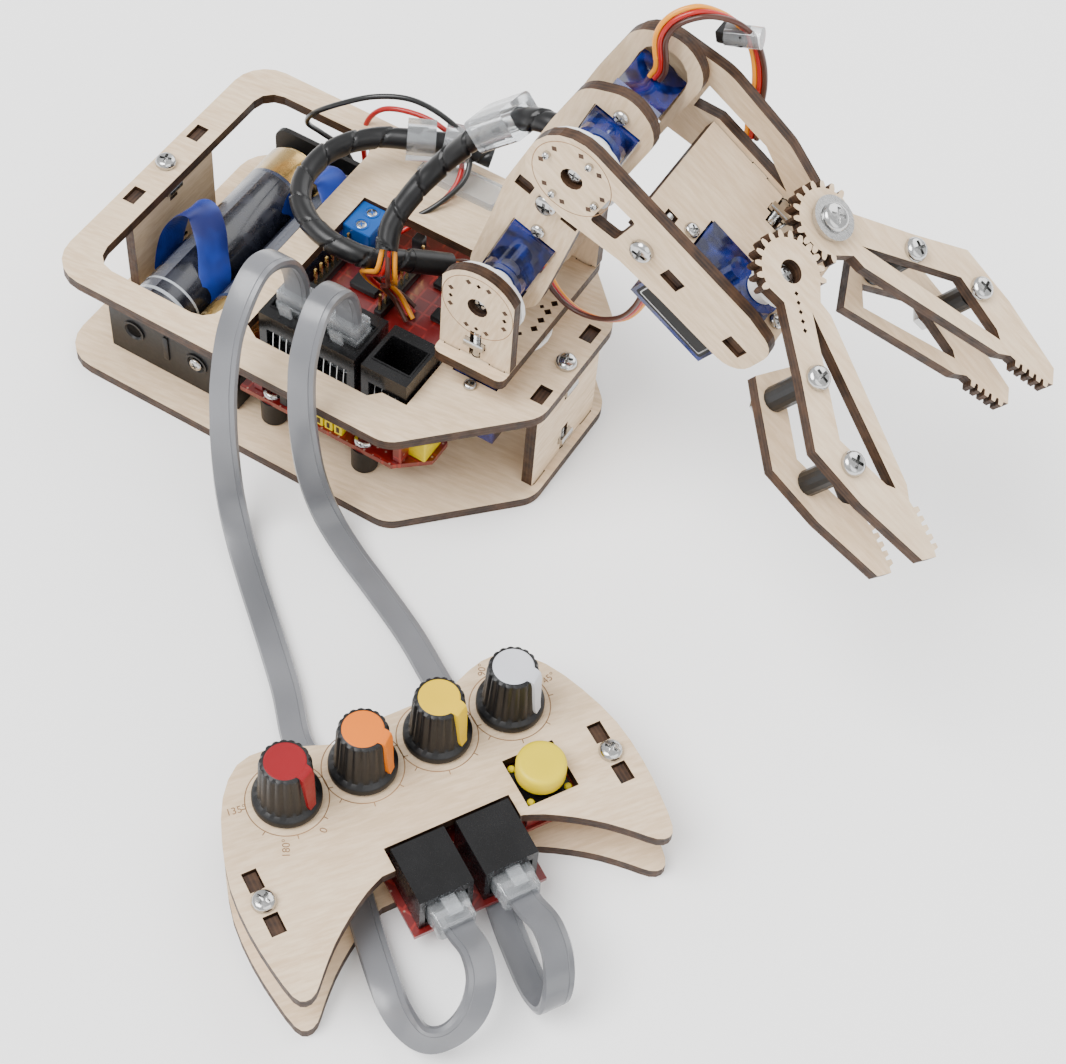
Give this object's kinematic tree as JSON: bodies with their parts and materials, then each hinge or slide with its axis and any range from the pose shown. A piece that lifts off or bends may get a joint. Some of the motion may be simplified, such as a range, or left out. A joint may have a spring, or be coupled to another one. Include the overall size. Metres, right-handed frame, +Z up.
{
  "type": "desktop servo arm kit with hand controller",
  "caption": "Laser-cut plywood robot arm on a battery base, with a geared claw and a wired hand controller with coloured knobs",
  "frame": {"origin": "on the floor under the base's swivel axis, at the bottom face of the base's bottom plate", "axes": "+Z up along the swivel axis, +X forward along the base's length, towards the claw, +Y to the arm's left, away from the hand controller"},
  "size_m": [0.2362, 0.2166, 0.1435],
  "materials": {
    "plywood": "laser-cut birch plywood, matt, brown at the cut edges",
    "servo_blue": "translucent dark blue servo case",
    "white_plastic": "white moulded servo horn",
    "black_plastic": "black moulded plastic",
    "red_board": "red circuit board",
    "cell_wrap": "printed black and blue cell sleeve",
    "steel": "bright plated steel",
    "grey_cable": "satin grey flat cable",
    "clear_plastic": "clear moulded plug",
    "yellow_plastic": "yellow button cap",
    "orange_wire": "brown, red and orange servo leads"
  },
  "bodies": {
    "base": {"base_plate_bottom": "plywood", "base_plate_top": "plywood", "base_support_front": "plywood", "base_support_rear": "plywood", "battery_holder": "black_plastic", "battery_cell_1": "cell_wrap", "battery_cell_2": "cell_wrap", "control_board": "red_board", "jack_board": "red_board", "base_jack_1": "black_plastic", "base_jack_2": "black_plastic", "base_jack_3": "black_plastic", "base_servo": "servo_blue", "wire_loom": "black_plastic", "pad_plate_bottom": "plywood", "pad_plate_top": "plywood", "pad_side_left": "plywood", "pad_side_right": "plywood", "pad_board": "red_board", "pad_jack_1": "black_plastic", "pad_jack_2": "black_plastic", "data_cable_1": "grey_cable", "data_cable_2": "grey_cable", "plug_base_1": "clear_plastic", "plug_base_2": "clear_plastic", "plug_pad_1": "clear_plastic", "plug_pad_2": "clear_plastic"},
    "yoke": {"yoke_floor": "plywood", "yoke_side_near": "plywood", "yoke_side_far": "plywood", "swivel_horn": "white_plastic", "shoulder_horn": "white_plastic"},
    "upper_arm": {"arm_plate_near": "plywood", "arm_plate_far": "plywood", "arm_crosspiece": "plywood", "shoulder_servo": "servo_blue", "elbow_servo": "servo_blue", "arm_loom": "black_plastic"},
    "forearm": {"forearm_plate_near": "plywood", "forearm_plate_far": "plywood", "forearm_deck": "plywood", "elbow_horn": "white_plastic", "gripper_servo": "servo_blue", "claw_post": "steel", "elbow_lead": "orange_wire"},
    "claw_a": {"gripper_horn": "white_plastic", "claw_a_upper": "plywood", "claw_a_lower": "plywood", "claw_a_spacer_1": "black_plastic", "claw_a_spacer_2": "black_plastic"},
    "claw_b": {"claw_b_upper": "plywood", "claw_b_lower": "plywood", "claw_b_spacer_1": "black_plastic", "claw_b_spacer_2": "black_plastic"},
    "knob_1": {"knob_1": "black_plastic"},
    "knob_2": {"knob_2": "black_plastic"},
    "knob_3": {"knob_3": "black_plastic"},
    "knob_4": {"knob_4": "black_plastic"},
    "button": {"button_cap": "yellow_plastic"}
  },
  "joints": [
    {"name": "base_swivel", "type": "hinge", "parent": "base", "child": "yoke", "pos_m": [0, 0, 0.0422], "axis": [0, 0, 1], "range_deg": [-20, 90]},
    {"name": "shoulder", "type": "hinge", "parent": "yoke", "child": "upper_arm", "pos_m": [0, 0.005, 0.0631], "axis": [0, 1, 0], "range_deg": [-15, 15]},
    {"name": "elbow", "type": "hinge", "parent": "upper_arm", "child": "forearm", "pos_m": [0.02152, 0.005, 0.11916], "axis": [0, 1, 0], "range_deg": [-45, 18]},
    {"name": "claw_drive", "type": "hinge", "parent": "forearm", "child": "claw_a", "pos_m": [0.06537, -0.0064, 0.10151], "axis": [0.5432, 0, 0.8396], "range_deg": [-15, 24]},
    {"name": "claw_follow", "type": "hinge", "parent": "forearm", "child": "claw_b", "pos_m": [0.06537, 0.0114, 0.10151], "axis": [0.5432, 0, 0.8396], "range_deg": [-24, 15]},
    {"name": "knob_1_turn", "type": "hinge", "parent": "base", "child": "knob_1", "pos_m": [0.02241, -0.13115, 0.027], "axis": [0, 0, 1], "range_deg": [-135, 135]},
    {"name": "knob_2_turn", "type": "hinge", "parent": "base", "child": "knob_2", "pos_m": [0.03209, -0.1151, 0.027], "axis": [0, 0, 1], "range_deg": [-135, 135]},
    {"name": "knob_3_turn", "type": "hinge", "parent": "base", "child": "knob_3", "pos_m": [0.0418, -0.099, 0.027], "axis": [0, 0, 1], "range_deg": [-135, 135]},
    {"name": "knob_4_turn", "type": "hinge", "parent": "base", "child": "knob_4", "pos_m": [0.05149, -0.08295, 0.027], "axis": [0, 0, 1], "range_deg": [-135, 135]},
    {"name": "button_press", "type": "slide", "parent": "base", "child": "button", "axis": [0, 0, -1], "range_m": [0, 0.0015], "stiffness_N_per_m": 300, "springref_m": -0.001}
  ],
  "couplings": [
    {"joint": "claw_follow", "follows": "claw_drive", "ratio": -1}
  ]
}
